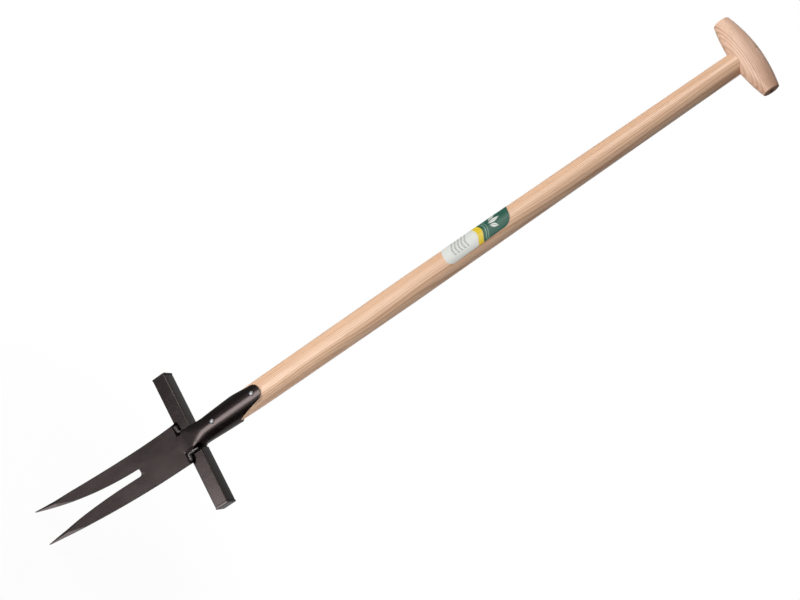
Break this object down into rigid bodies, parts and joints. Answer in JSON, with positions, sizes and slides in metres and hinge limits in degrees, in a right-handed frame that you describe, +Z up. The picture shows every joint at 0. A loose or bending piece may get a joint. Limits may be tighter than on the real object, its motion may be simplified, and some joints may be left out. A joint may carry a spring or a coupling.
{
  "type": "weeding fork",
  "caption": "Long handled weeding fork: a slotted steel blade with pointed tines, welded foot treads, a turned ash shaft and a T-grip.",
  "frame": {"origin": "where the shaft's axis meets the underside of the T-grip, the place the tool hangs by", "axes": "+Z up the shaft towards the grip, -Y out of the front (concave side of the tines, nail heads), +X towards the right tread seen from the front"},
  "size_m": [0.2064, 0.0782, 1.1255],
  "materials": {
    "black_steel": "satin black paint",
    "black_cap": "satin",
    "zinc": "bright zinc plate",
    "ash_wood": "thin clear lacquer",
    "wedge_wood": "sanded, under the same lacquer",
    "label_paper": "coated sticker"
  },
  "bodies": {
    "root": {"fork_head": "black_steel", "tread_left": "black_steel", "tread_right": "black_steel", "weld_front_left": "black_steel", "weld_front_right": "black_steel", "weld_back_left": "black_steel", "weld_back_right": "black_steel", "tread_cap_left": "black_cap", "tread_cap_right": "black_cap", "nail_upper": "zinc", "nail_lower": "zinc", "shaft": "ash_wood", "grip": "ash_wood", "grip_wedge": "wedge_wood", "label": "label_paper"}
  },
  "joints": []
}
